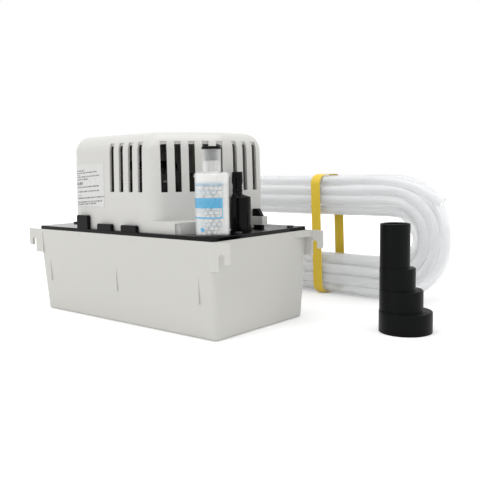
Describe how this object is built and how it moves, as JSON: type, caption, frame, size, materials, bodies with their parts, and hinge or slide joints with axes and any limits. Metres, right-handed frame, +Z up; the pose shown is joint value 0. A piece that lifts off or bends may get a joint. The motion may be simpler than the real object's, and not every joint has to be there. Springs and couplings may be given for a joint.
{
  "type": "condensate pump",
  "caption": "Tank-type condensate pump: tapered water tank, vented motor cover, barbed check valve, treatment canister, stepped rubber adapter and strapped hank of clear hose.",
  "frame": {"origin": "middle of the tank's flat underside, on the floor", "axes": "+X along the tank towards the discharge end, -Y towards the long wall with the cover's vents and label, +Z up"},
  "size_m": [0.4558, 0.3204, 0.2056],
  "materials": {
    "tank_plastic": "satin moulded ABS, pale warm grey",
    "cover_plastic": "satin moulded ABS, pale warm grey",
    "deck_plastic": "glossy black moulded plastic",
    "black_plastic": "satin black moulded plastic",
    "white_plastic": "satin white acetal",
    "float_foam": "matt closed-cell foam",
    "label_paper": "printed film, plain ruled lines",
    "black_steel": "blackened steel screws",
    "steel": "zinc-plated steel, dark passivated",
    "stainless": "stainless steel",
    "laminations": "stacked silicon steel sheets, blackened",
    "bronze": "sintered bronze",
    "winding_tape": "dark varnished tape",
    "bobbin_nylon": "black nylon",
    "black_rubber": "matt black rubber",
    "grey_rubber": "satin grey rubber",
    "clear_plastic": "clear polystyrene",
    "bead_clear": "translucent beads",
    "label_blue": "printed film with plain blue bands",
    "clear_vinyl": "flexible clear vinyl",
    "yellow_strap": "woven polyester strapping"
  },
  "bodies": {
    "tank": {"tank": "tank_plastic"},
    "deck": {"deck_plate": "deck_plastic", "deck_tabs": "deck_plastic", "deck_screws": "black_steel", "cover_post": "deck_plastic", "float_bracket": "deck_plastic", "volute_housing": "black_plastic", "column_screws": "stainless", "strainer_plate": "black_plastic", "strainer_screws": "stainless", "lower_bearing": "bronze", "upper_bearing": "bronze", "lower_bracket": "steel", "upper_bracket": "steel", "stator_core": "laminations", "coil_bobbin": "bobbin_nylon", "coil_winding": "winding_tape", "motor_standoffs": "steel", "motor_bolts": "steel", "discharge_riser": "black_plastic", "valve_body": "black_plastic", "valve_seal": "black_rubber", "barb_nozzle": "black_plastic", "float_pin": "stainless", "run_switch": "black_plastic", "switch_bracket": "steel", "switch_rivets": "steel", "switch_pin": "stainless", "safety_stem": "white_plastic", "safety_clips": "stainless", "safety_nut": "white_plastic"},
    "cover": {"motor_cover": "cover_plastic", "cover_lug": "cover_plastic", "data_label": "label_paper", "cord_bush": "black_rubber"},
    "rotor": {"motor_shaft": "stainless", "rotor_core": "laminations", "impeller": "white_plastic", "cooling_fan": "black_plastic", "shaft_slinger": "black_rubber"},
    "float_lever": {"main_float": "float_foam", "float_arm": "white_plastic", "float_screws": "stainless"},
    "push_rod": {"push_rod": "white_plastic"},
    "switch_lever": {"switch_lever": "stainless"},
    "safety_float": {"safety_float": "white_plastic"},
    "valve_ball": {"valve_ball": "stainless"},
    "inlet_plug": {"inlet_plug": "black_rubber"},
    "canister": {"canister_body": "clear_plastic", "canister_label": "label_blue", "canister_beads": "bead_clear"},
    "canister_cap": {"canister_cap": "clear_plastic", "cap_disc": "black_plastic", "canister_stopper": "grey_rubber"},
    "adapter": {"rubber_adapter": "black_rubber"},
    "hank": {"hose_hank": "clear_vinyl", "hose_strap": "yellow_strap"}
  },
  "joints": [
    {"name": "deck_lift", "type": "slide", "parent": "tank", "child": "deck", "axis": [0, 0, 1], "range_m": [0, 0.12]},
    {"name": "cover_lift", "type": "slide", "parent": "deck", "child": "cover", "axis": [0, 0, 1], "range_m": [0, 0.11]},
    {"name": "rotor_spin", "type": "hinge", "parent": "deck", "child": "rotor", "pos_m": [-0.01, -0.012, 0.14], "axis": [0, 0, 1], "continuous": true},
    {"name": "float_swing", "type": "hinge", "parent": "deck", "child": "float_lever", "pos_m": [-0.02, 0.034, 0.084], "axis": [0, 1, 0], "range_deg": [0, 18]},
    {"name": "push_rod_lift", "type": "slide", "parent": "deck", "child": "push_rod", "axis": [0, 0, 1], "range_m": [0, 0.0052]},
    {"name": "switch_lever_swing", "type": "hinge", "parent": "deck", "child": "switch_lever", "pos_m": [-0.015, 0.034, 0.125], "axis": [0, 1, 0], "range_deg": [0, 15]},
    {"name": "safety_float_rise", "type": "slide", "parent": "deck", "child": "safety_float", "axis": [0, 0, 1], "range_m": [0, 0.015]},
    {"name": "valve_ball_rise", "type": "slide", "parent": "deck", "child": "valve_ball", "axis": [0, 0, 1], "range_m": [0, 0.005]},
    {"name": "plug_lift", "type": "slide", "parent": "deck", "child": "inlet_plug", "axis": [0, 0, 1], "range_m": [0, 0.03]},
    {"name": "canister_lift", "type": "slide", "parent": "deck", "child": "canister", "axis": [0, 0, 1], "range_m": [0, 0.08]},
    {"name": "cap_lift", "type": "slide", "parent": "canister", "child": "canister_cap", "axis": [0, 0, 1], "range_m": [0, 0.04]},
    {"name": "adapter_lift", "type": "slide", "parent": "tank", "child": "adapter", "axis": [0, 0, 1], "range_m": [0, 0.15]},
    {"name": "hank_lift", "type": "slide", "parent": "tank", "child": "hank", "axis": [0, 0, 1], "range_m": [0, 0.15]}
  ],
  "couplings": [
    {"joint": "push_rod_lift", "follows": "float_swing", "m_per_rad": 0.0165},
    {"joint": "switch_lever_swing", "follows": "float_swing", "ratio": 0.825}
  ]
}
